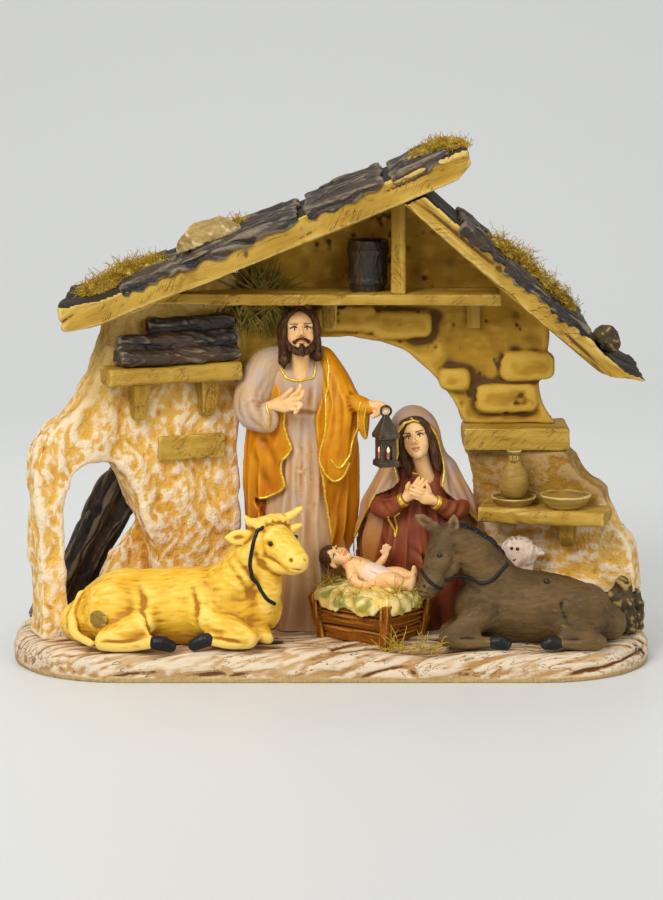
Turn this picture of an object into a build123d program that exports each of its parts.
"""Cast nativity stable with its figures: a plinth, walls, roof, fittings, people and animals.

Units are millimetres. +X is to the right as seen from the front, +Y goes to the back and +Z is up.
The origin is the middle of the plinth's flat underside.
"""

import math
import os

from build123d import *

# Plinth
BASE_WIDTH = 287.0
BASE_DEPTH = 116.0
BASE_HEIGHT = 12.0
BASE_CORNER_RADIUS = 50.0
BASE_SHOULDER = 7.0
MOUND_LENGTH = 11.5
MOUND_WIDTH = 8.0
MOUND_HEIGHT = 2.2

# Doorway between the two side walls, under the gable's arch
DOOR_WIDTH = 101.0
DOOR_MIDDLE_X = 9.0
DOOR_CROWN_RISE = 131.5

# Left wall, turned so that its outer end comes forward
LEFT_WALL_LENGTH = 96.0
LEFT_WALL_HEIGHT = 160.0
LEFT_WALL_THICKNESS = 20.0
LEFT_WALL_TURN = 22.0
LEFT_WALL_END_Y = 5.0
ARCH_HEIGHT = 80.0
ARCH_FILL_THICKNESS = 6.0

# Right wall, turned the other way
RIGHT_WALL_LENGTH = 80.0
RIGHT_WALL_THICKNESS = 18.0
RIGHT_WALL_TURN = 14.0

# Plank that lies on the right wall and carries the gable
LINTEL_LENGTH = 48.0
LINTEL_THICKNESS = 10.5
LINTEL_BOTTOM_RISE = 81.3
LINTEL_FRONT_REACH = 11.0
LINTEL_EDGE = 2.0

# Gable
GABLE_FRONT_Y = 8.0
GABLE_THICKNESS = 18.0
GABLE_RIGHT_REACH = 37.0
STONE_PROUD = 3.0
STONE_ROUND = 3.6

# Roof slabs
RIDGE_X = 30.5
RIDGE_RISE = 196.6
ROOF_FRONT_Y = -38.0
ROOF_BACK_Y = 36.0
LEFT_SLOPE = 22.4
LEFT_SLAB_LENGTH = 160.0
LEFT_SLAB_OVERHANG = 33.0
LEFT_SLAB_THICKNESS = 11.6
RIGHT_SLOPE = 40.7
RIGHT_SLAB_LENGTH = 117.0
RIGHT_SLAB_THICKNESS = 9.4
BARK_THICKNESS = 2.6
BARK_EDGE = 0.9
BARK_OVERHANG = 1.2
BARK_DROOP = 4.6

# Loft under the ridge
LOFT_RISE = 149.3
LOFT_THICKNESS = 5.2
LOFT_DEPTH = 26.0
LOFT_LEFT_REACH = 96.0
LOFT_RIGHT_REACH = 66.0
POST_WIDTH = 6.6
POST_DEPTH = 6.0
BARREL_HEIGHT = 23.0
BARREL_TOP_RADIUS = 8.6
BARREL_FOOT_RADIUS = 7.4
BARREL_HOOP = 0.5
BARREL_DIMPLE = 2.0
STRUT_WIDTH = 6.4
STRUT_DEPTH = 4.0
STRUT_DROP = 13.5

# Log shelf and timber on the left wall
SHELF_LENGTH = 62.0
SHELF_DEPTH = 15.0
SHELF_THICKNESS = 8.0
SHELF_RISE = 115.0
SHELF_END_GAP = 4.0
SHELF_EDGE = 1.4
CORBEL_WIDTH = 8.4
CORBEL_DROP = 17.0
CORBEL_DEPTH = 10.0
LOG_RADIUS = 3.8
LOG_GAP = 0.15
LOG_LONG = 41.0
LOG_SHORT = 15.0
TIMBER_LENGTH = 32.0
TIMBER_HEIGHT = 11.5
TIMBER_PROUD = 3.5
TIMBER_RISE = 78.0

# Ware shelf on the right wall
WARE_LENGTH = 57.0
WARE_DEPTH = 22.0
WARE_THICKNESS = 6.5
WARE_RISE = 51.5
WARE_EDGE = 1.0
WARE_GAP = 0.4
PROP_WIDTH = 6.5
PROP_DROP = 13.0
PROP_DEPTH = 12.0
PLATE_RADIUS = 10.6
PLATE_HEIGHT = 4.2
PLATE_LIP = 1.0
JUG_HEIGHT = 22.0
JUG_RADIUS = 6.6
JUG_NECK_RADIUS = 3.0
JUG_LIP_RADIUS = 3.7
BOWL_RADIUS = 11.6
BOWL_HEIGHT = 6.4
BOWL_LIP = 1.1

# Loose dressing: brushwood, rocks, palm leaves, moss
BRUSH_LENGTH = 80.0
BRUSH_RADIUS = 7.4
BRUSH_LEAN = 28.0
ROCK_LENGTH = 23.0
ROCK_HEIGHT = 14.0
LEAF_LENGTH = 26.0
LEAF_WIDTH = 5.0
LEAF_THICKNESS = 2.0
ROOF_STONE_LENGTH = 30.0
ROOF_STONE_HEIGHT = 9.0
MOSS_RADIUS = 6.0
STRAW_LENGTH = 22.0
STRAW_RADIUS = 1.3

# Figures
STANDING_HEIGHT = 147.0
KNEELING_HEIGHT = 100.5
INFANT_LENGTH = 37.0
OX_LENGTH = 106.0
DONKEY_LENGTH = 88.0
LAMB_LENGTH = 34.0

# Manger
CRATE_LENGTH = 35.0
CRATE_WIDTH = 26.0
CRATE_HEIGHT = 20.0
CRATE_FLARE = 3.0
CRATE_WALL = 2.0
CRATE_TURN = -37.0
CRATE_POST = 4.0
STRAW_BED_HEIGHT = 4.5
STRAW_BED_OVERHANG = 1.5

# Lantern and the finger that carries it
LANTERN_HEIGHT = 23.0
LANTERN_WIDTH = 7.4
LANTERN_EAVE = 9.8
LANTERN_FOOT = 9.2
LANTERN_TURN = 20.0
LANTERN_NICHE = 1.2
RING_WIRE = 0.55
RING_CLEARANCE = 0.3
FINGER_RADIUS = 1.4
FINGER_LENGTH = 12.0

# One overrun serves every cut
OVERRUN = 400.0

BASE_TOP = BASE_HEIGHT
TIP_SHARES = [(0.55, 0.82), (0.85, 0.45)]
SIDE_SHARES = (0.35, 0.62, 0.7)
made = {}


def oval(middle_x, middle_y, radius_x, radius_y, folds=0, fold_share=0.0):
    """A closed smooth outline round a middle, with a number of folds pressed into it."""
    corners = []
    points = max(12, 4 * folds)
    for step in range(points):
        angle = math.tau * step / points
        swell = 1 + fold_share * math.cos(folds * angle)
        corners.append(
            (middle_x + radius_x * swell * math.cos(angle), middle_y + radius_y * swell * math.sin(angle))
        )
    return make_face(Spline(*corners, periodic=True))


def stack(rows, size, folds=0, fold_share=0.0):
    """A body lofted upwards through ovals. A row is height, middle x and y, and radius x and y, as shares."""
    sections = []
    for height, middle_x, middle_y, radius_x, radius_y in rows:
        outline = oval(middle_x * size, middle_y * size, radius_x * size, radius_y * size, folds, fold_share)
        sections.append(Pos(0, 0, height * size) * outline)
    return loft(sections)


def run(rows, size):
    """A body lofted from left to right through ovals. A row is x, middle y, middle z, radius y, radius z."""
    sections = []
    for x, middle_y, middle_z, radius_y, radius_z in rows:
        outline = oval(middle_y * size, middle_z * size, radius_y * size, radius_z * size)
        sections.append(Plane.YZ.offset(x * size) * outline)
    return loft(sections)


def egg(middle, radii, size=1.0, turn=(0, 0, 0)):
    """An ellipsoid at a place, with its middle and radii given as shares of a size."""
    place = Pos(*[size * share for share in middle]) * Rot(*turn)
    return place * scale(Sphere(1), by=tuple(size * share for share in radii))


def limb(joints, size):
    """A tapering limb lofted through rounds, with rounded ends. A joint is x, y, z and radius, as shares."""
    places = [Vector(x, y, z) * size for x, y, z, radius in joints]
    radii = [radius * size for x, y, z, radius in joints]
    outset = (places[1] - places[0]).normalized()
    onward = (places[-1] - places[-2]).normalized()
    rounds = []
    for reach, shrink in reversed(TIP_SHARES):
        rounds.append((places[0] - outset * (radii[0] * reach), outset, radii[0] * shrink))
    for index, place in enumerate(places):
        before = places[max(index - 1, 0)]
        after = places[min(index + 1, len(places) - 1)]
        rounds.append((place, after - before, radii[index]))
    for reach, shrink in TIP_SHARES:
        rounds.append((places[-1] + onward * (radii[-1] * reach), onward, radii[-1] * shrink))
    sections = []
    for place, direction, radius in rounds:
        side = direction.cross(Vector(*SIDE_SHARES))
        sections.append(Plane(origin=place, x_dir=side, z_dir=direction) * Circle(radius))
    return loft(sections, ruled=True)


def fuse(pieces):
    """Several overlapping shapes as one solid."""
    whole = pieces[0]
    for piece in pieces[1:]:
        whole = whole + piece
    return whole


def above(height):
    """Everything over a level, to cut a piece flat where it stands."""
    return Pos(0, 0, height + OVERRUN / 2) * Box(OVERRUN, OVERRUN, OVERRUN)


def keep(name, shape):
    made[name] = shape


def front_board(outline, depth):
    """An outline drawn in X and Z, made into a board that goes back from the plane of its front."""
    return extrude(Plane.XZ * outline, amount=-depth)


# Where the walls stand
LEFT_JAMB_X = DOOR_MIDDLE_X - DOOR_WIDTH / 2
RIGHT_JAMB_X = DOOR_MIDDLE_X + DOOR_WIDTH / 2
LEFT_TURN_COS = math.cos(math.radians(LEFT_WALL_TURN))
LEFT_TURN_SIN = math.sin(math.radians(LEFT_WALL_TURN))
LEFT_WALL_PLACE = Pos(
    LEFT_JAMB_X - LEFT_WALL_LENGTH * LEFT_TURN_COS,
    LEFT_WALL_END_Y - LEFT_WALL_LENGTH * LEFT_TURN_SIN,
    BASE_TOP,
) * Rot(0, 0, LEFT_WALL_TURN)
RIGHT_WALL_PLACE = Pos(RIGHT_JAMB_X, GABLE_FRONT_Y, BASE_TOP) * Rot(0, 0, -RIGHT_WALL_TURN)
LINTEL_BOTTOM = BASE_TOP + LINTEL_BOTTOM_RISE
LINTEL_TOP = LINTEL_BOTTOM + LINTEL_THICKNESS
RIDGE_Z = BASE_TOP + RIDGE_RISE
ROOF_DEPTH = ROOF_BACK_Y - ROOF_FRONT_Y

# The roof slabs' frames: x runs along the slope, y back and z out of the slab, from the ridge's underside
LEFT_SLAB_PLACE = Pos(RIDGE_X, ROOF_FRONT_Y, RIDGE_Z) * Rot(0, -LEFT_SLOPE, 0)
RIGHT_SLAB_PLACE = Pos(RIDGE_X, ROOF_FRONT_Y, RIDGE_Z) * Rot(0, RIGHT_SLOPE, 0)


def roof_space():
    """What lies over the undersides of both roof slabs, to trim the walls and posts that carry them."""
    block = Box(OVERRUN, OVERRUN, OVERRUN, align=(Align.CENTER, Align.CENTER, Align.MIN))
    left = Pos(RIDGE_X, 0, RIDGE_Z) * Rot(0, -LEFT_SLOPE, 0) * block
    right = Pos(RIDGE_X, 0, RIDGE_Z) * Rot(0, RIGHT_SLOPE, 0) * block
    return left + right


# Low mounds of trodden straw, where nothing stands on the plinth: shares of its width and depth
MOUND_PLACES_SHARES = [
    (-0.36, 0.36), (-0.22, 0.37), (-0.08, 0.34), (0.06, 0.37), (0.20, 0.35), (0.34, 0.36), (-0.035, -0.41),
]


def base_plinth():
    outline = RectangleRounded(BASE_WIDTH, BASE_DEPTH, BASE_CORNER_RADIUS)
    slab = extrude(outline, amount=BASE_HEIGHT)
    slab = fillet(slab.edges().group_by(Axis.Z)[-1], BASE_SHOULDER)
    mound = scale(Sphere(1), by=(MOUND_LENGTH, MOUND_WIDTH, MOUND_HEIGHT))
    for along, back in MOUND_PLACES_SHARES:
        slab = slab + Pos(BASE_WIDTH * along, BASE_DEPTH * back, BASE_HEIGHT) * mound
    return slab


# Left wall: outline and arch as shares of its length and height
LEFT_EDGE_SHARES = [(0.015, 0.0), (0.010, 0.225), (0.0, 0.43), (0.005, 0.52), (0.05, 0.572), (0.17, 0.628)]
LEFT_SHOULDER_SHARES = [(0.17, 0.628), (0.25, 0.68), (0.32, 0.74), (0.385, 0.84), (0.40, 1.0)]
ARCH_LEFT_SHARES = [(0.165, 0.0), (0.145, 0.28), (0.135, 0.60)]
ARCH_CROWN_SHARES = [(0.135, 0.60), (0.155, 0.85), (0.235, 0.985), (0.31, 1.0), (0.40, 0.965),
    (0.475, 0.83), (0.51, 0.68)]
ARCH_RIGHT_SHARES = [(0.51, 0.68), (0.57, 0.46), (0.60, 0.0)]
ARCH_FILL_SHARES = [
    (0.34, 0.0), (0.35, 0.26), (0.40, 0.44), (0.46, 0.48), (0.52, 0.60), (0.60, 0.54), (0.63, 0.0),
]


def scaled(shares, length, height):
    return [(x * length, z * height) for x, z in shares]


def arch_outline():
    left = scaled(ARCH_LEFT_SHARES, LEFT_WALL_LENGTH, ARCH_HEIGHT)
    crown = scaled(ARCH_CROWN_SHARES, LEFT_WALL_LENGTH, ARCH_HEIGHT)
    right = scaled(ARCH_RIGHT_SHARES, LEFT_WALL_LENGTH, ARCH_HEIGHT)
    return make_face([Polyline(*left), Spline(*crown), Polyline(*right), Line(right[-1], left[0])])


def left_wall():
    edge = scaled(LEFT_EDGE_SHARES, LEFT_WALL_LENGTH, LEFT_WALL_HEIGHT)
    shoulder = scaled(LEFT_SHOULDER_SHARES, LEFT_WALL_LENGTH, LEFT_WALL_HEIGHT)
    top_right = (LEFT_WALL_LENGTH, LEFT_WALL_HEIGHT)
    foot_right = (LEFT_WALL_LENGTH, 0)
    outline = make_face(
        [Spline(*edge), Spline(*shoulder), Polyline(shoulder[-1], top_right, foot_right, edge[0])]
    )
    wall = front_board(outline, LEFT_WALL_THICKNESS)
    wall = wall - front_board(arch_outline(), LEFT_WALL_THICKNESS)
    fill = Polyline(*scaled(ARCH_FILL_SHARES, LEFT_WALL_LENGTH, ARCH_HEIGHT), close=True)
    fill = front_board(make_face(fill), ARCH_FILL_THICKNESS)
    wall = wall + Pos(0, LEFT_WALL_THICKNESS - ARCH_FILL_THICKNESS, 0) * fill
    return LEFT_WALL_PLACE * wall - roof_space()


# Right wall: outline as shares of its length and of the height under the lintel
RIGHT_JAMB_SHARES = [(0.075, 0.0), (0.085, 0.60), (0.03, 0.86), (0.0, 1.0)]
RIGHT_OUTER_SHARES = [
    (0.585, 1.0), (0.60, 0.965), (0.68, 0.86), (0.80, 0.775), (0.865, 0.61), (0.93, 0.535), (0.985,
        0.375), (1.0, 0.24), (1.0, 0.0),
]


def right_wall():
    jamb = scaled(RIGHT_JAMB_SHARES, RIGHT_WALL_LENGTH, LINTEL_BOTTOM_RISE)
    outer = scaled(RIGHT_OUTER_SHARES, RIGHT_WALL_LENGTH, LINTEL_BOTTOM_RISE)
    outline = make_face([Spline(*jamb), Line(jamb[-1], outer[0]), Spline(*outer), Line(outer[-1], jamb[0])])
    return RIGHT_WALL_PLACE * front_board(outline, RIGHT_WALL_THICKNESS)


def lintel_plank():
    depth = LINTEL_FRONT_REACH + GABLE_THICKNESS
    plank = Box(LINTEL_LENGTH, depth, LINTEL_THICKNESS, align=(Align.MIN, Align.MIN, Align.MIN))
    plank = fillet(plank.edges().filter_by(Axis.Y), LINTEL_EDGE)
    return Pos(RIGHT_JAMB_X, GABLE_FRONT_Y - LINTEL_FRONT_REACH, LINTEL_BOTTOM) * plank


# Gable: the arch's underside and the outer edge as shares of the doorway, and its relief stones
GABLE_ARCH_SHARES = [(0.0, 0.80), (0.06, 0.91), (0.20, 0.98), (0.42, 1.0), (0.60, 0.995), (0.745, 0.95),
    (0.84, 0.89), (0.92, 0.82), (0.98, 0.745), (1.0, 0.70)]
GABLE_OUTER_SHARES = [(1.16, 0.0), (0.95, 0.12), (0.93, 0.20), (1.0, 0.30), (1.03, 0.45), (1.06, 0.62)]
GABLE_STONES_SHARES = [
    (-0.02, 1.065, 0.27, 0.085), (0.24, 1.045, 0.26, 0.09), (0.53, 0.855, 0.14, 0.075),
    (0.815, 0.90, 0.235, 0.095), (0.70, 0.79, 0.27, 0.095),
]
STONES_START_SHARE = 0.36


def relief_stone(middle_x, middle_rise, length, height):
    """A rounded field stone that stands a little proud of the gable's face."""
    depth = 2 * STONE_PROUD
    stone = Box(length, depth, height)
    stone = fillet(stone.edges().filter_by(Axis.Y), min(STONE_ROUND, height / 2.2))
    stone = fillet(stone.faces().sort_by(Axis.Y)[0].edges(), STONE_PROUD / 2)
    return Pos(middle_x, GABLE_FRONT_Y, BASE_TOP + middle_rise) * stone


def gable_wall():
    arch = []
    for x, rise in GABLE_ARCH_SHARES:
        top_rise = DOOR_CROWN_RISE * rise
        arch.append((LEFT_JAMB_X + DOOR_WIDTH * x, BASE_TOP + top_rise))
    foot_left = (RIGHT_JAMB_X, LINTEL_TOP)
    outer = []
    for x, rise in GABLE_OUTER_SHARES:
        outer.append((RIGHT_JAMB_X + GABLE_RIGHT_REACH * x, LINTEL_TOP + (RIDGE_Z - LINTEL_TOP) * rise))
    top_right = (outer[-1][0], RIDGE_Z + LEFT_SLAB_OVERHANG)
    top_left = (LEFT_JAMB_X, RIDGE_Z + LEFT_SLAB_OVERHANG)
    rim = [Spline(*arch), Polyline(arch[-1], foot_left, outer[0]), Spline(*outer)]
    rim.append(Polyline(outer[-1], top_right, top_left, arch[0]))
    wall = Pos(0, GABLE_FRONT_Y, 0) * front_board(make_face(rim), GABLE_THICKNESS)
    for x, rise, length, height in GABLE_STONES_SHARES:
        middle_x = LEFT_JAMB_X + DOOR_WIDTH * (STONES_START_SHARE + length / 2 + x)
        wall = wall + relief_stone(middle_x, DOOR_CROWN_RISE * rise, DOOR_WIDTH * length,
            DOOR_CROWN_RISE * height)
    return wall - roof_space() - made["left_wall"]


# Left slab: the eave kicks up a little and the far end is cut on the skew
LEFT_EAVE_UNDER_SHARES = [(-0.78, 0.0), (-0.90, 0.10), (-0.99, 0.36)]
LEFT_EAVE_TOP_SHARES = [(-0.975, 1.36), (-0.90, 1.10), (-0.80, 1.0)]
LEFT_END_SHARES = [(1.05, 1.0), (1.05, 0.36), (0.8, 0.0)]
RIGHT_EAVE_TOP_SHARES = [(0.86, 0.97), (0.96, 0.85), (1.04, 0.96), (1.128, 1.28)]
RIGHT_TIP_SHARES = [(1.128, 1.28), (1.125, 1.02), (1.0, 0.0)]


def left_roof_slab():
    under = scaled(LEFT_EAVE_UNDER_SHARES, LEFT_SLAB_LENGTH, LEFT_SLAB_THICKNESS)
    top = scaled(LEFT_EAVE_TOP_SHARES, LEFT_SLAB_LENGTH, LEFT_SLAB_THICKNESS)
    end = scaled(LEFT_END_SHARES, LEFT_SLAB_OVERHANG, LEFT_SLAB_THICKNESS)
    rim = [Spline(*under, tangents=[(-1, 0), (-1, 1 / 3)]), Line(under[-1], top[0])]
    rim += [Spline(*top, tangents=[(1, -1 / 3), (1, 0)]), Polyline(top[-1], *end, under[0])]
    return LEFT_SLAB_PLACE * front_board(make_face(rim), ROOF_DEPTH)


def right_roof_slab():
    top = scaled(RIGHT_EAVE_TOP_SHARES, RIGHT_SLAB_LENGTH, RIGHT_SLAB_THICKNESS)
    tip = scaled(RIGHT_TIP_SHARES, RIGHT_SLAB_LENGTH, RIGHT_SLAB_THICKNESS)
    start_top = (-RIGHT_SLAB_THICKNESS, RIGHT_SLAB_THICKNESS)
    start = (-RIGHT_SLAB_THICKNESS, 0)
    rim = [Polyline(start_top, top[0]), Spline(*top), Polyline(*tip, start, start_top)]
    slab = RIGHT_SLAB_PLACE * front_board(make_face(rim), ROOF_DEPTH)
    block = Box(OVERRUN, OVERRUN, OVERRUN, align=(Align.CENTER, Align.CENTER, Align.MIN))
    return slab - Pos(RIDGE_X, 0, RIDGE_Z) * Rot(0, -LEFT_SLOPE, 0) * block


# Bark: ragged plates laid on the slabs. A plate is its start and end along the slope and its reach back.
LEFT_PLATES_SHARES = [(-0.80, -0.63, 0.97), (-0.625, -0.27, 0.93), (-0.255, -0.02, 0.98),
    (-0.005, 0.17, 0.95)]
RIGHT_PLATES_SHARES = [(0.22, 0.43, 0.96), (0.44, 0.66, 0.92), (0.67, 0.85, 0.97)]
PLATE_RAGGED_SHARES = [
    (0.0, 0.011), (0.18, 0.0), (0.40, 0.01), (0.63, 0.0), (0.85, 0.011), (1.0, 0.004),
    (0.97, 0.33), (1.0, 0.66), (0.98, 1.0), (0.70, 0.96), (0.45, 1.0), (0.20, 0.95), (0.0, 1.0), (0.03,
        0.62), (0.0, 0.30),
]
PLATE_RIB_SHARES = [0.14, 0.38, 0.63, 0.86]
RIB_WIDTH_SHARE = 0.09
RIB_HEIGHT_SHARE = 0.45
LIP_SHARES = [
    (0.0, -0.55), (0.09, -0.95), (0.2, -0.5), (0.33, -1.0), (0.47, -0.6), (0.58, -0.85), (0.72,
        -0.25), (0.84, -0.7), (1.0, -0.35),
]


def bark_cover(plates, length, bed):
    """Ragged bark plates with long ribs, on a slab whose top is at the bed, which droop over its front."""
    cover = []
    for start, end, reach in plates:
        plate_length = length * (end - start)
        plate_depth = (ROOF_DEPTH + BARK_OVERHANG) * reach
        outline = Polyline(*scaled(PLATE_RAGGED_SHARES, plate_length, plate_depth), close=True)
        plate = extrude(make_face(outline), amount=BARK_THICKNESS)
        plate = chamfer(plate.edges().group_by(Axis.Z)[-1], BARK_EDGE)
        for rib in PLATE_RIB_SHARES:
            width = plate_depth * RIB_WIDTH_SHARE
            height = BARK_THICKNESS * RIB_HEIGHT_SHARE
            bar = extrude(RectangleRounded(plate_length - 2 * width, width, width / 3), amount=height)
            bar = Pos(plate_length / 2, plate_depth * rib, BARK_THICKNESS) * bar
            plate = plate + chamfer(bar.edges().group_by(Axis.Z)[-1], height / 2)
        lip = scaled(LIP_SHARES, plate_length, BARK_DROOP) + [(plate_length, BARK_THICKNESS / 2),
            (0, BARK_THICKNESS / 2)]
        plate = plate + front_board(make_face(Polyline(*lip, close=True)), BARK_OVERHANG)
        cover.append(Pos(length * start, -BARK_OVERHANG, bed) * plate)
    return cover


def roof_bark(place, plates, length, bed):
    return Compound(children=[place * piece for piece in bark_cover(plates, length, bed)])


# Moss and stones on the roof. A lump is its places along the slope and back, and its size in
# stone lengths or moss radii.
LEFT_STONE_SHARES = (-0.53, 0.26)
RIGHT_STONE_SHARES = (0.915, 0.12)
RIGHT_STONE_SIZE_SHARE = 0.42
LEFT_MOSS_SHARES = [(-0.86, 0.28, 1.7), (-0.78, 0.38, 1.9), (-0.71, 0.30, 1.5), (-0.46, 0.62, 1.3)]
RIDGE_MOSS_SHARES = [(0.09, 0.22, 1.25), (0.145, 0.34, 1.5), (0.19, 0.2, 1.0)]
RIGHT_MOSS_SHARES = [(0.40, 0.22, 1.5), (0.50, 0.32, 1.8), (0.61, 0.24, 1.7), (0.72, 0.30, 1.4)]
MOSS_FLAT_SHARE = 0.72


def moss_patch(place, lumps, length, bed, under):
    pieces = []
    for along, back, size in lumps:
        radius = MOSS_RADIUS * size
        middle = Pos(length * along, ROOF_DEPTH * back, bed)
        pieces.append(place * middle * scale(Sphere(1), by=(radius, radius, radius * MOSS_FLAT_SHARE)))
    patch = fuse(pieces)
    for piece in under:
        patch = patch - made[piece]
    below = Box(OVERRUN, OVERRUN, OVERRUN, align=(Align.CENTER, Align.CENTER, Align.MAX))
    return patch - place * below


def left_roof_stone():
    along, back = LEFT_STONE_SHARES
    bed = LEFT_SLAB_THICKNESS + BARK_THICKNESS * (1 + RIB_HEIGHT_SHARE)
    radius = ROOF_STONE_LENGTH / 2
    stone = scale(Sphere(1), by=(radius, radius * 0.7, ROOF_STONE_HEIGHT))
    stone = LEFT_SLAB_PLACE * Pos(LEFT_SLAB_LENGTH * along, ROOF_DEPTH * back, bed) * stone
    below = Box(OVERRUN, OVERRUN, OVERRUN, align=(Align.CENTER, Align.CENTER, Align.MAX))
    return stone - LEFT_SLAB_PLACE * Pos(0, 0, bed) * below


def right_roof_stone():
    along, back = RIGHT_STONE_SHARES
    radius = ROOF_STONE_LENGTH * RIGHT_STONE_SIZE_SHARE / 2
    bed = RIGHT_SLAB_THICKNESS + radius / 2
    place = RIGHT_SLAB_PLACE * Pos(RIGHT_SLAB_LENGTH * along, ROOF_DEPTH * back, bed)
    return place * Sphere(radius) - made["right_roof_slab"]


# Loft
LOFT_BOTTOM = BASE_TOP + LOFT_RISE
LOFT_TOP = LOFT_BOTTOM + LOFT_THICKNESS
LOFT_FRONT_Y = GABLE_FRONT_Y - LOFT_DEPTH
POST_X_SHARE = 0.31
BARREL_GAP = 0.4
STRUT_PLACES_SHARES = [-0.15, 0.83]


def loft_shelf():
    length = LOFT_LEFT_REACH + LOFT_RIGHT_REACH
    board = Box(length, LOFT_DEPTH, LOFT_THICKNESS, align=(Align.MIN, Align.MIN, Align.MIN))
    board = Pos(DOOR_MIDDLE_X - LOFT_LEFT_REACH, LOFT_FRONT_Y, LOFT_BOTTOM) * board
    return board - roof_space() - made["left_wall"] - made["gable_wall"]


def post_middle_x():
    return DOOR_MIDDLE_X + LOFT_RIGHT_REACH * POST_X_SHARE


def king_post():
    post = Box(POST_WIDTH, POST_DEPTH, OVERRUN, align=(Align.CENTER, Align.MIN, Align.MIN))
    post = fillet(post.edges().filter_by(Axis.Z), POST_WIDTH / 6)
    return Pos(post_middle_x(), LOFT_FRONT_Y + POST_WIDTH / 6, LOFT_TOP) * post - roof_space()


def loft_barrel():
    side = [(BARREL_FOOT_RADIUS, 0)]
    side.append(((BARREL_FOOT_RADIUS + BARREL_TOP_RADIUS) / 2 + BARREL_HOOP, BARREL_HEIGHT / 2))
    side.append((BARREL_TOP_RADIUS, BARREL_HEIGHT))
    rim_inner = BARREL_TOP_RADIUS - BARREL_DIMPLE
    floor = BARREL_HEIGHT - BARREL_DIMPLE
    edge = [Spline(*side), Polyline(side[-1], (rim_inner, BARREL_HEIGHT), (rim_inner, floor), (0, floor),
        (0, 0), side[0])]
    barrel = revolve(Plane.XZ * make_face(edge), Axis.Z)
    for level in (0.2, 0.78):
        waist = BARREL_FOOT_RADIUS + (BARREL_TOP_RADIUS - BARREL_FOOT_RADIUS) * level + BARREL_HOOP
        hoop = Cylinder(waist + BARREL_HOOP, BARREL_HOOP * 4) - Cylinder(rim_inner, BARREL_HOOP * 4)
        barrel = barrel + Pos(0, 0, BARREL_HEIGHT * level) * hoop
    widest = BARREL_TOP_RADIUS + 2 * BARREL_HOOP
    x = post_middle_x() - POST_WIDTH / 2 - BARREL_GAP - widest
    return Pos(x, LOFT_FRONT_Y + LOFT_DEPTH / 2, LOFT_TOP) * barrel


def beam_struts():
    pieces = []
    for along in STRUT_PLACES_SHARES:
        strut = Box(STRUT_WIDTH, STRUT_DEPTH, STRUT_DROP, align=(Align.CENTER, Align.MAX, Align.MAX))
        place = Pos(DOOR_MIDDLE_X + LOFT_RIGHT_REACH * along, GABLE_FRONT_Y, LOFT_BOTTOM)
        pieces.append(place * strut - made["gable_wall"])
    return Compound(children=pieces)


# Fittings on the left wall, in that wall's own frame
SHELF_START = LEFT_WALL_LENGTH - SHELF_LENGTH - SHELF_END_GAP
CORBEL_PLACES_SHARES = [0.27, 0.79]
CORBEL_TAPER_SHARE = 0.62
TIMBER_START_SHARE = 0.585
LOG_STACK_SHARES = [0.335, 0.09]
LOG_TAPER_SHARES = [(0.0, 0.93), (0.3, 1.0), (0.7, 0.96), (1.0, 0.9)]


def log_shelf():
    board = Box(SHELF_LENGTH, SHELF_DEPTH, SHELF_THICKNESS, align=(Align.MIN, Align.MAX, Align.MIN))
    board = chamfer(board.faces().sort_by(Axis.Y)[0].edges().filter_by(Axis.X), SHELF_EDGE)
    return LEFT_WALL_PLACE * Pos(SHELF_START, 0, SHELF_RISE) * board


def shelf_corbels():
    """Two brackets that taper downwards, flat against the wall and under the shelf."""
    pieces = []
    for along in CORBEL_PLACES_SHARES:
        top = Pos(0, -CORBEL_DEPTH / 2, 0) * Rectangle(CORBEL_WIDTH, CORBEL_DEPTH)
        foot_depth = CORBEL_DEPTH * CORBEL_TAPER_SHARE
        foot = Pos(0, -foot_depth / 2, -CORBEL_DROP) * Rectangle(CORBEL_WIDTH * CORBEL_TAPER_SHARE,
            foot_depth)
        place = LEFT_WALL_PLACE * Pos(SHELF_START + SHELF_LENGTH * along, 0, SHELF_RISE)
        pieces.append(place * loft([foot, top]))
    return Compound(children=pieces)


def log(length):
    """One round billet that tapers a little, lying along the wall."""
    sections = []
    for along, swell in LOG_TAPER_SHARES:
        sections.append(Plane.YZ.offset(length * along) * Circle(LOG_RADIUS * swell))
    return loft(sections)


def log_stack():
    pitch = 2 * LOG_RADIUS + LOG_GAP
    rise = pitch * math.sin(math.radians(60))
    bottom = SHELF_RISE + SHELF_THICKNESS + LOG_RADIUS + LOG_GAP / 2
    back = -(LOG_RADIUS + LOG_GAP)
    rows = [(back, 0), (back - pitch, 0), (back - pitch / 2, 1), (back, 2)]
    long_start = SHELF_START + SHELF_LENGTH * LOG_STACK_SHARES[0]
    short_start = SHELF_START + SHELF_LENGTH * LOG_STACK_SHARES[1]
    pieces = []
    for y, row in rows:
        pieces.append(Pos(long_start, y, bottom + rise * row) * log(LOG_LONG))
    for y, row in rows[:3]:
        pieces.append(Pos(short_start, y, bottom + rise * row) * log(LOG_SHORT - LOG_GAP))
    return Compound(children=[LEFT_WALL_PLACE * piece for piece in pieces])


def wall_timber():
    timber = Box(TIMBER_LENGTH, TIMBER_PROUD, TIMBER_HEIGHT, align=(Align.MIN, Align.MAX, Align.MIN))
    timber = fillet(timber.edges().filter_by(Axis.Y), TIMBER_PROUD / 3)
    return LEFT_WALL_PLACE * Pos(LEFT_WALL_LENGTH * TIMBER_START_SHARE, 0, TIMBER_RISE) * timber


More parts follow.
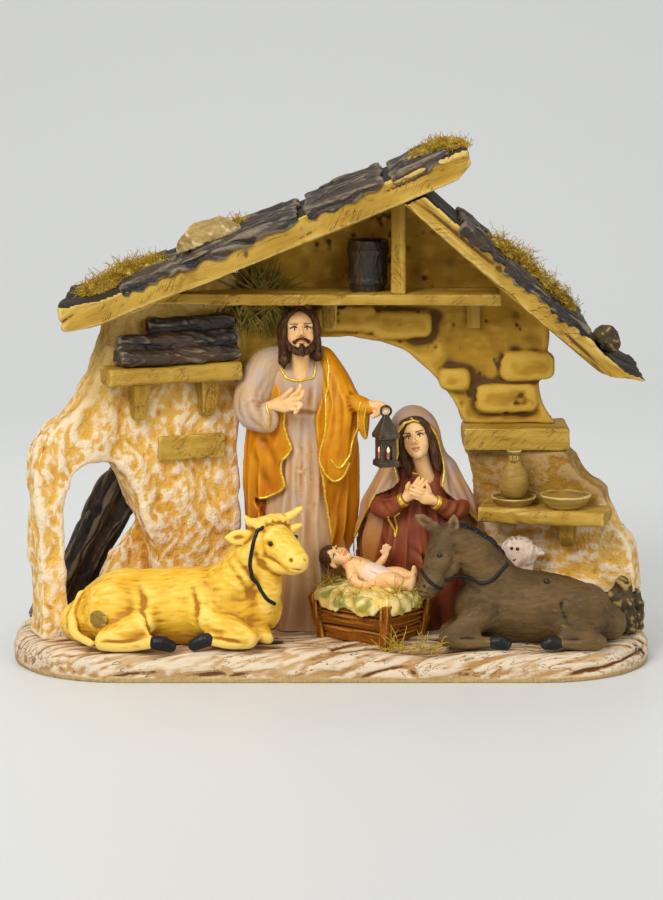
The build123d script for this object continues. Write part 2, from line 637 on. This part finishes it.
# Fittings on the right wall, in that wall's own frame
WARE_START_SHARE = 0.145
WARE_START = RIGHT_WALL_LENGTH * WARE_START_SHARE
PLATE_PLACE_SHARE = 0.25
BOWL_PLACE_SHARE = 0.665
PROP_PLACE_SHARE = 0.67
JUG_PROFILE_SHARES = [(0.62, 0.0), (0.9, 0.12), (1.0, 0.34), (0.86, 0.56)]
WARE_TOP = WARE_RISE + WARE_THICKNESS


def ware_shelf():
    board = Box(WARE_LENGTH, WARE_DEPTH, WARE_THICKNESS, align=(Align.MIN, Align.MAX, Align.MIN))
    board = chamfer(board.faces().sort_by(Axis.Y)[0].edges().filter_by(Axis.X), WARE_EDGE)
    return RIGHT_WALL_PLACE * Pos(WARE_START, 0, WARE_RISE) * board


def ware_shelf_prop():
    prop = Box(PROP_WIDTH, PROP_DEPTH, PROP_DROP, align=(Align.CENTER, Align.MAX, Align.MAX))
    prop = chamfer(prop.edges().filter_by(Axis.X).group_by(Axis.Z)[0].sort_by(Axis.Y)[0], PROP_DEPTH / 2)
    return RIGHT_WALL_PLACE * Pos(WARE_START + WARE_LENGTH * PROP_PLACE_SHARE, 0, WARE_RISE) * prop


def ware_place(share, radius, rise):
    """A place on the ware shelf for a round vessel that stands just clear of the wall."""
    return RIGHT_WALL_PLACE * Pos(WARE_START + WARE_LENGTH * share, -(radius + WARE_GAP), WARE_TOP + rise)


def jug_plate():
    """A thick shallow dish with a raised lip."""
    foot = PLATE_RADIUS * 0.72
    inner = PLATE_RADIUS - PLATE_LIP
    edge = [(0, 0), (foot, 0), (PLATE_RADIUS, PLATE_HEIGHT), (inner, PLATE_HEIGHT)]
    edge += [(inner - PLATE_LIP, PLATE_HEIGHT - PLATE_LIP), (0, PLATE_HEIGHT - PLATE_LIP)]
    return ware_place(PLATE_PLACE_SHARE, PLATE_RADIUS,
        0) * revolve(Plane.XZ * make_face(Polyline(*edge, close=True)), Axis.Z)


def water_jug():
    body_top = JUG_HEIGHT * 0.72
    side = [(JUG_RADIUS * x, JUG_HEIGHT * z) for x, z in JUG_PROFILE_SHARES]
    side += [(JUG_NECK_RADIUS, body_top), (JUG_LIP_RADIUS, JUG_HEIGHT)]
    mouth = JUG_NECK_RADIUS * 0.8
    edge = [Spline(*side), Polyline(side[-1], (mouth, JUG_HEIGHT), (mouth, body_top), (0, body_top),
        (0, 0), side[0])]
    jug = revolve(Plane.XZ * make_face(edge), Axis.Z)
    return ware_place(PLATE_PLACE_SHARE, PLATE_RADIUS, PLATE_HEIGHT - PLATE_LIP) * jug


def grain_bowl():
    """A bowl cast with its filling, which stands as a low heap inside the lip."""
    foot = BOWL_RADIUS * 0.6
    inner = BOWL_RADIUS - BOWL_LIP
    heap_edge = (inner - BOWL_LIP, BOWL_HEIGHT - BOWL_LIP)
    heap_top = (0, BOWL_HEIGHT + BOWL_LIP)
    rim = [Polyline(heap_top, (0, 0), (foot, 0)),
        Spline((foot, 0), (BOWL_RADIUS * 0.9, BOWL_HEIGHT / 2), (BOWL_RADIUS, BOWL_HEIGHT))]
    rim += [Polyline((BOWL_RADIUS, BOWL_HEIGHT), (inner, BOWL_HEIGHT), heap_edge),
        Spline(heap_edge, (inner / 2, BOWL_HEIGHT), heap_top)]
    return ware_place(BOWL_PLACE_SHARE, BOWL_RADIUS, 0) * revolve(Plane.XZ * make_face(rim), Axis.Z)


# Loose dressing on the plinth
BRUSH_FOOT_SHARES = (-0.448, 0.17)
BRUSH_SWELL_SHARES = [(0.0, 1.35), (0.3, 1.25), (0.6, 1.3), (0.85, 1.5), (1.0, 1.2)]
BRUSH_STICKS = 7
BRUSH_FLUTE_SHARE = 0.14
ROCKS_SHARES = [(0.14, -0.03, 0.33, 1.5), (0.36, 0.34, 0.25, 1.1), (-0.2, 0.08, 0.2, 0.9)]
ROCKS_PLACE_SHARES = (0.444, -0.14)


def leaning_bundle():
    """A bundle of brushwood that stands on the plinth and leans behind the left wall."""
    lean = math.radians(BRUSH_LEAN)
    foot_x = BASE_WIDTH * BRUSH_FOOT_SHARES[0]
    foot_y = BASE_DEPTH * BRUSH_FOOT_SHARES[1]
    sections = []
    for along, swell in BRUSH_SWELL_SHARES:
        radius = BRUSH_RADIUS * swell
        rise = BRUSH_LENGTH * along * math.cos(lean)
        middle_x = foot_x + BRUSH_LENGTH * along * math.sin(lean)
        outline = oval(middle_x, foot_y, radius / math.cos(lean), radius, BRUSH_STICKS, BRUSH_FLUTE_SHARE)
        sections.append(Pos(0, 0, BASE_TOP + rise) * outline)
    return loft(sections) - made["left_wall"]


def corner_rocks():
    pieces = []
    middle_x = BASE_WIDTH * ROCKS_PLACE_SHARES[0]
    middle_y = BASE_DEPTH * ROCKS_PLACE_SHARES[1]
    for along, back, size, tall in ROCKS_SHARES:
        radius = ROCK_LENGTH * size
        rock = scale(Sphere(1), by=(radius, radius * 0.85, ROCK_HEIGHT * tall))
        pieces.append(Pos(middle_x + ROCK_LENGTH * along, middle_y + ROCK_LENGTH * back,
            BASE_TOP + ROCK_HEIGHT / 2) * rock)
    return (fuse(pieces) & above(BASE_TOP)) - made["right_wall"]


# Palm leaves: place along the loft, how far each leans, and its length
UPPER_LEAVES_SHARES = [(-0.60, -28, 0.72), (-0.535, -12, 0.85), (-0.47, 8, 0.95), (-0.40, 26, 0.9),
    (-0.34, 40, 0.75)]
LOWER_LEAVES_SHARES = [(-0.46, 162, 0.62), (-0.40, 180, 0.72), (-0.34, 198, 0.6)]
LEAF_SIDE_SHARES = [(0.0, 0.0), (0.5, 0.25), (0.46, 0.6), (0.0, 1.0)]


def leaf_blade(length):
    right = [(LEAF_WIDTH * x, length * z) for x, z in LEAF_SIDE_SHARES]
    left = [(-x, z) for x, z in reversed(right)]
    return front_board(make_face([Spline(*right), Spline(*left)]), LEAF_THICKNESS)


def palm_fronds():
    pieces = []
    for along, lean, size in UPPER_LEAVES_SHARES + LOWER_LEAVES_SHARES:
        hanging = abs(lean) > 90
        level = LOFT_BOTTOM if hanging else LOFT_TOP
        place = Pos(DOOR_MIDDLE_X + LOFT_LEFT_REACH * along, GABLE_FRONT_Y - 2 * LEAF_THICKNESS, level)
        blade = place * Rot(0, lean, 0) * Pos(0, 0, -LEAF_WIDTH) * leaf_blade(LEAF_LENGTH * size)
        room = above(LOFT_TOP)
        if hanging:
            room = Pos(0, 0, LOFT_BOTTOM - OVERRUN / 2) * Box(OVERRUN, OVERRUN, OVERRUN)
        pieces.append(blade & room)
    groups = [fuse(pieces[:5]), fuse(pieces[5:])]
    solids = []
    for group in groups:
        solids += (group - made["left_wall"] - roof_space()).solids()
    return Compound(children=solids)


# Standing figure. Rows and joints are shares of the height, from the middle of the feet.
STANDING_PLACE_SHARES = (-0.042, 0.034)
STANDING_ROBE_SHARES = [
    (0.0, -0.005, 0.0, 0.108, 0.084), (0.05, -0.005, 0.0, 0.106, 0.08), (0.16, -0.007, 0.0, 0.104, 0.078),
    (0.31, -0.014, 0.0, 0.116, 0.082), (0.49, -0.02, 0.0, 0.126, 0.083), (0.67, -0.027, -0.006, 0.115, 0.075),
    (0.76, -0.03, -0.012, 0.108, 0.068), (0.825, -0.03, -0.02, 0.078, 0.054), (0.86, -0.026, -0.03, 0.046, 0.042),
]
STANDING_CLOAK_SHARES = [
    (0.04, -0.01, 0.015, 0.112, 0.082), (0.2, -0.018, 0.015, 0.128, 0.085), (0.34, -0.016, 0.012, 0.163, 0.088),
    (0.49, -0.014, 0.008, 0.172, 0.09), (0.65, -0.018, 0.005, 0.165, 0.086), (0.76, -0.027, 0.003, 0.139, 0.08), (0.828, -0.03, 0.0, 0.098, 0.066),
]
CLOAK_FRONT_SHARES = (-0.095, 0.03)
CLOAK_FOLDS = 8
CLOAK_FOLD_SHARE = 0.03
ROBE_FOLDS = 7
ROBE_FOLD_SHARE = 0.035
STANDING_RIGHT_ARM_SHARES = [(-0.115, -0.02, 0.79, 0.05), (-0.175, -0.055, 0.675, 0.056), (-0.08, -0.115, 0.66, 0.04)]
STANDING_RIGHT_HAND_SHARES = [(-0.08, -0.115, 0.665, 0.022), (-0.045, -0.125, 0.69, 0.022), (-0.025, -0.122, 0.715, 0.013)]
STANDING_LEFT_ARM_SHARES = [(0.06, -0.02, 0.79, 0.05), (0.115, -0.065, 0.715, 0.055), (0.185, -0.122, 0.69, 0.036)]
STANDING_LEFT_HAND_SHARES = [(0.18, -0.12, 0.69, 0.024), (0.212, -0.13, 0.696, 0.024), (0.238, -0.134, 0.70, 0.021)]
STANDING_HEAD_SHARES = [((-0.017, -0.062, 0.918), (0.05, 0.056, 0.072)), ((-0.016, -0.046, 0.936), (0.06, 0.058, 0.064))]
STANDING_BEARD_SHARES = ((-0.016, -0.092, 0.86), (0.034, 0.03, 0.052))
STANDING_NECK_SHARES = [(-0.026, -0.02, 0.82, 0.042), (-0.02, -0.04, 0.87, 0.038), (-0.018, -0.05, 0.9, 0.036)]
FINGER_SHARES = (0.246, -0.138, 0.703)

STANDING_X = BASE_WIDTH * STANDING_PLACE_SHARES[0]
STANDING_Y = BASE_DEPTH * STANDING_PLACE_SHARES[1]
FINGER_X = STANDING_X + STANDING_HEIGHT * FINGER_SHARES[0]
FINGER_Y = STANDING_Y + STANDING_HEIGHT * FINGER_SHARES[1]
FINGER_Z = BASE_TOP + STANDING_HEIGHT * FINGER_SHARES[2]


def standing_figure():
    size = STANDING_HEIGHT
    robe = stack(STANDING_ROBE_SHARES, size, ROBE_FOLDS, ROBE_FOLD_SHARE)
    cloak = stack(STANDING_CLOAK_SHARES, size, CLOAK_FOLDS, CLOAK_FOLD_SHARE)
    left, right = [size * share for share in CLOAK_FRONT_SHARES]
    gap = Box(right - left, OVERRUN, OVERRUN, align=(Align.MIN, Align.MAX, Align.CENTER))
    cloak = cloak - Pos(left, 0, 0) * gap
    pieces = [robe, cloak, limb(STANDING_RIGHT_ARM_SHARES, size), limb(STANDING_LEFT_ARM_SHARES, size)]
    pieces += [limb(STANDING_RIGHT_HAND_SHARES, size), limb(STANDING_LEFT_HAND_SHARES, size)]
    pieces.append(limb(STANDING_NECK_SHARES, size))
    for middle, radii in STANDING_HEAD_SHARES + [STANDING_BEARD_SHARES]:
        pieces.append(egg(middle, radii, size))
    finger = Plane.XZ * Circle(FINGER_RADIUS)
    finger = Pos(FINGER_X - STANDING_X, FINGER_Y - STANDING_Y, FINGER_Z - BASE_TOP) * extrude(finger, amount=FINGER_LENGTH)
    pieces.append(fillet(finger.faces().sort_by(Axis.Y)[0].edges(), FINGER_RADIUS / 2))
    return Pos(STANDING_X, STANDING_Y, BASE_TOP) * fuse(pieces)


# Lantern, hung by its ring from the finger
RING_INNER = FINGER_RADIUS + RING_CLEARANCE
RING_MIDDLE = RING_INNER + RING_WIRE
RING_SIT = RING_CLEARANCE * 0.8
LANTERN_Y = FINGER_Y - FINGER_LENGTH * 0.55
LANTERN_TOP = FINGER_Z - RING_MIDDLE - RING_SIT + RING_WIRE
LANTERN_LEVEL_SHARES = (0.0, 0.09, 0.14, 0.55, 0.62)
LANTERN_PEAK_SHARE = 0.2


def lantern_body():
    """A square lantern: foot, body with an arched niche in each side, eave, and a roof like a tent."""
    foot, step, body, eave, roof = [LANTERN_HEIGHT * share for share in LANTERN_LEVEL_SHARES]
    pieces = [extrude(Rectangle(LANTERN_FOOT, LANTERN_FOOT), amount=step)]
    pieces.append(loft([Pos(0, 0, step) * Rectangle(LANTERN_FOOT, LANTERN_FOOT), Pos(0, 0, body) * Rectangle(LANTERN_WIDTH, LANTERN_WIDTH)]))
    pieces.append(Pos(0, 0, body) * extrude(Rectangle(LANTERN_WIDTH, LANTERN_WIDTH), amount=eave - body))
    pieces.append(Pos(0, 0, eave) * extrude(Rectangle(LANTERN_EAVE, LANTERN_EAVE), amount=roof - eave))
    peak = LANTERN_EAVE * LANTERN_PEAK_SHARE
    pieces.append(loft([Pos(0, 0, roof) * Rectangle(LANTERN_EAVE, LANTERN_EAVE), Pos(0, 0, LANTERN_HEIGHT) * Rectangle(peak, peak)]))
    lantern = fuse(pieces)
    niche_width = LANTERN_WIDTH / 2
    niche_spring = (eave - body) / 2
    niche = Pos(0, niche_spring / 2) * Rectangle(niche_width, niche_spring) + Pos(0, niche_spring) * Circle(niche_width / 2)
    niche = Pos(0, -LANTERN_WIDTH / 2, body) * extrude(Plane.XZ * niche, amount=-LANTERN_NICHE)
    for quarter in range(4):
        lantern = lantern - Rot(0, 0, 90 * quarter) * niche
    return Pos(FINGER_X, LANTERN_Y, LANTERN_TOP - LANTERN_HEIGHT) * Rot(0, 0, LANTERN_TURN) * lantern


def lantern_ring():
    ring = Rot(90, 0, 0) * Torus(RING_MIDDLE, RING_WIRE)
    return Pos(FINGER_X, LANTERN_Y, FINGER_Z - RING_SIT) * ring - made["lantern_body"]


# Kneeling figure, in shares of its height
KNEELING_PLACE_SHARES = (0.141, 0.0)
KNEELING_BODY_SHARES = [
    (0.0, 0.04, 0.02, 0.205, 0.085), (0.14, 0.038, 0.016, 0.21, 0.085), (0.26, 0.03, 0.004, 0.23, 0.092),
    (0.38, 0.01, -0.012, 0.27, 0.1), (0.48, 0.0, -0.018, 0.255, 0.11), (0.60, -0.008, -0.02, 0.228, 0.115),
    (0.70, -0.01, -0.02, 0.19, 0.115), (0.78, -0.014, -0.02, 0.145, 0.106), (0.84, -0.02, -0.024, 0.10, 0.088),
]
KNEELING_VEIL_SHARES = [((-0.032, -0.035, 0.862), (0.107, 0.104, 0.137))]
KNEELING_FACE_SHARES = ((-0.026, -0.1, 0.85), (0.062, 0.055, 0.078))
KNEELING_RIGHT_ARM_SHARES = [(-0.13, -0.04, 0.68, 0.07), (-0.17, -0.095, 0.55, 0.07), (-0.075, -0.156, 0.63, 0.042)]
KNEELING_LEFT_ARM_SHARES = [(0.11, -0.04, 0.68, 0.07), (0.145, -0.095, 0.55, 0.07), (0.05, -0.156, 0.625, 0.042)]
KNEELING_HANDS_SHARES = [(-0.075, -0.16, 0.64, 0.028), (-0.015, -0.17, 0.665, 0.03), (0.045, -0.16, 0.63, 0.028)]


def kneeling_figure():
    size = KNEELING_HEIGHT
    pieces = [stack(KNEELING_BODY_SHARES, size, ROBE_FOLDS, ROBE_FOLD_SHARE)]
    pieces += [limb(KNEELING_RIGHT_ARM_SHARES, size), limb(KNEELING_LEFT_ARM_SHARES, size)]
    pieces.append(limb(KNEELING_HANDS_SHARES, size))
    for middle, radii in KNEELING_VEIL_SHARES + [KNEELING_FACE_SHARES]:
        pieces.append(egg(middle, radii, size))
    place = Pos(BASE_WIDTH * KNEELING_PLACE_SHARES[0], BASE_DEPTH * KNEELING_PLACE_SHARES[1], BASE_TOP)
    return place * fuse(pieces)


# Manger: a flared crate with corner posts, its straw, and the infant on top
CRATE_PLACE_SHARES = (0.061, -0.187)
CRATE_PLACE = Pos(BASE_WIDTH * CRATE_PLACE_SHARES[0], BASE_DEPTH * CRATE_PLACE_SHARES[1],
    BASE_TOP) * Rot(0, 0, CRATE_TURN)
STRAW_GAP = 0.2
STRAW_TOP = CRATE_HEIGHT + STRAW_BED_HEIGHT


def crate_block(inset, low, high):
    """The tapering block between two levels of the crate, drawn in from its outside by an inset."""
    sections = []
    for level in (low, high):
        flare = 2 * CRATE_FLARE * level / CRATE_HEIGHT - 2 * inset
        sections.append(Pos(0, 0, level) * Rectangle(CRATE_LENGTH + flare, CRATE_WIDTH + flare))
    return loft(sections)


def manger_crate():
    crate = crate_block(0, 0, CRATE_HEIGHT)
    posts = []
    for side_x in (-1, 1):
        for side_y in (-1, 1):
            foot = Pos(side_x * CRATE_LENGTH / 2, side_y * CRATE_WIDTH / 2, 0) * Rectangle(CRATE_POST,
                CRATE_POST)
            top_x = side_x * (CRATE_LENGTH / 2 + CRATE_FLARE)
            top_y = side_y * (CRATE_WIDTH / 2 + CRATE_FLARE)
            posts.append(loft([foot, Pos(top_x, top_y, CRATE_HEIGHT) * Rectangle(CRATE_POST, CRATE_POST)]))
    crate = fuse([crate] + posts) - crate_block(CRATE_WALL + CRATE_POST / 2, CRATE_WALL, CRATE_HEIGHT)
    return CRATE_PLACE * crate


def manger_straw():
    plug = crate_block(CRATE_WALL + CRATE_POST / 2 + STRAW_GAP, CRATE_WALL, CRATE_HEIGHT)
    length = CRATE_LENGTH + 2 * CRATE_FLARE + 2 * STRAW_BED_OVERHANG
    width = CRATE_WIDTH + 2 * CRATE_FLARE + 2 * STRAW_BED_OVERHANG
    bed = extrude(RectangleRounded(length, width, width / 4), amount=STRAW_BED_HEIGHT)
    bed = fillet(bed.edges().group_by(Axis.Z)[-1], STRAW_BED_HEIGHT / 2)
    return CRATE_PLACE * (plug + Pos(0, 0, CRATE_HEIGHT) * bed)


INFANT_HEAD_SHARES = ((-0.36, 0.0, 0.24), (0.165, 0.155, 0.17))
INFANT_LIMBS_SHARES = [
    [(-0.22, 0.0, 0.16, 0.12), (0.0, 0.0, 0.1, 0.125), (0.12, 0.0, 0.08, 0.11)],
    [(0.12, -0.06, 0.1, 0.09), (0.32, -0.09, 0.17, 0.07), (0.5, -0.07, 0.06, 0.055)],
    [(0.12, 0.07, 0.1, 0.09), (0.33, 0.1, 0.14, 0.07), (0.5, 0.09, 0.06, 0.055)],
    [(-0.18, -0.12, 0.2, 0.06), (-0.03, -0.2, 0.22, 0.05), (0.1, -0.13, 0.31, 0.042)],
    [(-0.18, 0.12, 0.2, 0.06), (-0.05, 0.2, 0.2, 0.05), (0.1, 0.2, 0.26, 0.042)],
]


def infant_figure():
    size = INFANT_LENGTH
    pieces = [egg(*INFANT_HEAD_SHARES, size)] + [limb(joints, size) for joints in INFANT_LIMBS_SHARES]
    return CRATE_PLACE * Pos(0, 0, STRAW_TOP) * (fuse(pieces) & above(0))


# Ox, lying with its head to the manger. Shares of its length, from the rump, with x to the right.
OX_PLACE_SHARES = (-0.404, -0.241)
OX_BODY_SHARES = [
    (0.0, 0.0, 0.13, 0.03, 0.04), (0.025, 0.0, 0.145, 0.09, 0.11), (0.09, 0.0, 0.15, 0.128, 0.148), (0.22, 0.0, 0.15, 0.142, 0.162),
    (0.4, 0.0, 0.15, 0.138, 0.16), (0.55, 0.0, 0.152, 0.134, 0.164), (0.68, 0.0, 0.16, 0.125, 0.17), (0.79, 0.0, 0.16, 0.1, 0.14), (0.85, 0.0, 0.16, 0.055, 0.08),
]
OX_LIMBS_SHARES = [
    [(0.70, 0.0, 0.23, 0.11), (0.80, -0.01, 0.36, 0.085), (0.83, -0.015, 0.43, 0.075)],
    [(0.80, -0.02, 0.475, 0.072), (0.90, -0.05, 0.40, 0.056), (0.97, -0.075, 0.335, 0.046)],
    [(0.77, 0.03, 0.5, 0.022), (0.735, 0.055, 0.53, 0.016), (0.735, 0.05, 0.565, 0.007)],
    [(0.835, -0.055, 0.515, 0.022), (0.91, -0.075, 0.54, 0.015), (0.95, -0.07, 0.59, 0.007)],
    [(0.76, -0.07, 0.1, 0.06), (0.83, -0.1, 0.045, 0.036), (0.74, -0.125, 0.03, 0.029)],
    [(0.17, -0.08, 0.13, 0.09), (0.34, -0.12, 0.06, 0.045), (0.48, -0.14, 0.032, 0.031)],
    [(0.01, 0.0, 0.2, 0.018), (0.03, -0.09, 0.08, 0.016), (0.12, -0.14, 0.03, 0.022)],
]
OX_EAR_SHARES = [((0.705, -0.035, 0.468), (0.06, 0.02, 0.028))]

# Donkey, lying with its head to the manger. Shares of its length, from the muzzle, with x to the right.
DONKEY_PLACE_SHARES = (0.139, -0.26)
DONKEY_BODY_SHARES = [
    (0.235, -0.01, 0.17, 0.045, 0.068), (0.269, -0.01, 0.182, 0.108, 0.148), (0.342, -0.005, 0.188, 0.148,
        0.193),
    (0.456, 0.0, 0.189, 0.164, 0.198), (0.569, 0.002, 0.182, 0.164, 0.189), (0.683, 0.002, 0.173, 0.161,
        0.184),
    (0.797, -0.003, 0.152, 0.152, 0.161), (0.888, -0.01, 0.125, 0.134, 0.135), (0.956, -0.016, 0.102,
        0.098, 0.098),
    (0.99, -0.021, 0.095, 0.041, 0.045),
]
DONKEY_LIMBS_SHARES = [
    [(0.376, -0.01, 0.318, 0.127), (0.297, -0.021, 0.415, 0.118), (0.223, -0.044, 0.489, 0.105),
     (0.177, -0.061, 0.523, 0.091)],
    [(0.124, -0.066, 0.545, 0.084), (0.103, -0.089, 0.477, 0.089), (0.074, -0.112, 0.402, 0.075),
     (0.042, -0.13, 0.336, 0.064), (0.027, -0.137, 0.309, 0.057)],
    [(0.149, -0.078, 0.483, 0.068), (0.131, -0.094, 0.409, 0.064)],
    [(0.092, -0.083, 0.585, 0.027), (0.041, -0.078, 0.619, 0.028), (-0.004, -0.073, 0.65, 0.024),
     (-0.028, -0.071, 0.666, 0.013)],
    [(0.147, -0.095, 0.545, 0.028), (0.153, -0.1, 0.602, 0.031), (0.158, -0.094, 0.648, 0.025),
     (0.158, -0.088, 0.67, 0.013)],
    [(0.194, -0.049, 0.582, 0.03), (0.268, -0.032, 0.548, 0.036), (0.342, -0.016, 0.486, 0.039),
     (0.392, -0.007, 0.436, 0.034), (0.417, -0.003, 0.395, 0.023)],
    [(0.285, -0.117, 0.159, 0.089), (0.194, -0.169, 0.098, 0.059), (0.122, -0.185, 0.061, 0.048)],
    [(0.122, -0.191, 0.043, 0.039), (0.24, -0.207, 0.041, 0.033), (0.342, -0.212, 0.052, 0.033),
     (0.417, -0.216, 0.043, 0.032)],
    [(0.251, 0.047, 0.091, 0.062), (0.138, 0.047, 0.048, 0.045)],
    [(0.728, -0.157, 0.091, 0.061), (0.831, -0.18, 0.057, 0.052), (0.893, -0.185, 0.043, 0.043)],
    [(0.888, -0.191, 0.036, 0.037), (0.774, -0.21, 0.034, 0.033), (0.694, -0.214, 0.055, 0.033),
     (0.626, -0.219, 0.039, 0.032)],
]
DONKEY_EGGS_SHARES = [
    ((0.822, -0.078, 0.182), (0.141, 0.107, 0.141)),
]

# Lamb between the donkey and the right wall. Shares of its length, from its middle.
LAMB_PLACE_SHARES = (0.294, -0.062)
LAMB_EGGS_SHARES = [((0.03, 0.0, 0.36), (0.48, 0.15, 0.42)), ((-0.02, -0.02, 0.85), (0.22, 0.15, 0.34)),
    ((0.0, -0.05, 1.06), (0.24, 0.16, 0.22))]
LAMB_LIMBS_SHARES = [
    [(-0.12, -0.05, 1.1, 0.07), (-0.28, -0.05, 1.07, 0.05)],
    [(0.14, -0.04, 1.1, 0.07), (0.3, -0.04, 1.06, 0.05)],
    [(-0.02, -0.1, 1.02, 0.12), (-0.06, -0.16, 0.93, 0.085)],
]


def animal(place_shares, size, bodies, limbs):
    """One lying animal, cut flat where it rests on the plinth."""
    pieces = bodies + [limb(joints, size) for joints in limbs]
    place = Pos(BASE_WIDTH * place_shares[0], BASE_DEPTH * place_shares[1], BASE_TOP)
    return place * (fuse(pieces) & above(0))


def ox_figure():
    bodies = [run(OX_BODY_SHARES, OX_LENGTH)] + [egg(*ear, OX_LENGTH) for ear in OX_EAR_SHARES]
    return animal(OX_PLACE_SHARES, OX_LENGTH, bodies, OX_LIMBS_SHARES)


def donkey_figure():
    bodies = [run(DONKEY_BODY_SHARES, DONKEY_LENGTH)]
    bodies += [egg(*lump, DONKEY_LENGTH) for lump in DONKEY_EGGS_SHARES]
    return animal(DONKEY_PLACE_SHARES, DONKEY_LENGTH, bodies, DONKEY_LIMBS_SHARES)


def lamb_figure():
    bodies = [egg(*lump, LAMB_LENGTH) for lump in LAMB_EGGS_SHARES]
    return animal(LAMB_PLACE_SHARES, LAMB_LENGTH, bodies, LAMB_LIMBS_SHARES)


# Straw strands that lie on the plinth by the manger
STRAND_PLACE_SHARES = (0.122, -0.434)
STRAND_RUN_SHARES = [(-0.5, 0.0, 0.7, 0.8), (-0.15, -0.06, 1.0, 1.0), (0.2, 0.05, 0.8, 1.0),
    (0.5, 0.0, 0.6, 0.7)]


def ground_straw():
    joints = []
    for along, back, rise, swell in STRAND_RUN_SHARES:
        joints.append((STRAW_LENGTH * along, STRAW_LENGTH * back, STRAW_RADIUS * rise, STRAW_RADIUS * swell))
    place = Pos(BASE_WIDTH * STRAND_PLACE_SHARES[0], BASE_DEPTH * STRAND_PLACE_SHARES[1], BASE_TOP)
    return place * (limb(joints, 1.0) & above(0))


keep("base_plinth", base_plinth())
keep("left_wall", left_wall())
keep("right_wall", right_wall())
keep("lintel_plank", lintel_plank())
keep("gable_wall", gable_wall())

keep("left_roof_slab", left_roof_slab())
keep("right_roof_slab", right_roof_slab())
keep("left_roof_bark", roof_bark(LEFT_SLAB_PLACE, LEFT_PLATES_SHARES, LEFT_SLAB_LENGTH, LEFT_SLAB_THICKNESS))
keep("right_roof_bark", roof_bark(RIGHT_SLAB_PLACE, RIGHT_PLATES_SHARES, RIGHT_SLAB_LENGTH,
    RIGHT_SLAB_THICKNESS))
keep("left_roof_stone", left_roof_stone())
keep("right_roof_stone", right_roof_stone())
keep(
    "left_roof_moss",
    moss_patch(LEFT_SLAB_PLACE, LEFT_MOSS_SHARES, LEFT_SLAB_LENGTH, LEFT_SLAB_THICKNESS,
        ("left_roof_slab", "left_roof_bark")),
)
keep(
    "ridge_moss",
    moss_patch(LEFT_SLAB_PLACE, RIDGE_MOSS_SHARES, LEFT_SLAB_LENGTH, LEFT_SLAB_THICKNESS,
        ("left_roof_slab", "left_roof_bark")),
)
keep(
    "right_roof_moss",
    moss_patch(RIGHT_SLAB_PLACE, RIGHT_MOSS_SHARES, RIGHT_SLAB_LENGTH, RIGHT_SLAB_THICKNESS,
        ("right_roof_slab", "right_roof_bark")),
)
keep("loft_shelf", loft_shelf())
keep("king_post", king_post())
keep("loft_barrel", loft_barrel())
keep("beam_struts", beam_struts())
keep("log_shelf", log_shelf())
keep("shelf_corbels", shelf_corbels())
keep("log_stack", log_stack())
keep("wall_timber", wall_timber())
keep("ware_shelf", ware_shelf())
keep("ware_shelf_prop", ware_shelf_prop())
keep("jug_plate", jug_plate())
keep("water_jug", water_jug())
keep("grain_bowl", grain_bowl())
keep("leaning_bundle", leaning_bundle())
keep("corner_rocks", corner_rocks())
keep("palm_fronds", palm_fronds())

keep("standing_figure", standing_figure())
keep("lantern_body", lantern_body())
keep("lantern_ring", lantern_ring())
keep("kneeling_figure", kneeling_figure())
keep("manger_crate", manger_crate())
keep("manger_straw", manger_straw())
keep("infant_figure", infant_figure())
keep("ox_figure", ox_figure())
keep("donkey_figure", donkey_figure())
keep("lamb_figure", lamb_figure())
keep("ground_straw", ground_straw())

os.makedirs("parts", exist_ok=True)
for name, shape in made.items():
    export_step(shape, f"parts/{name}.step")
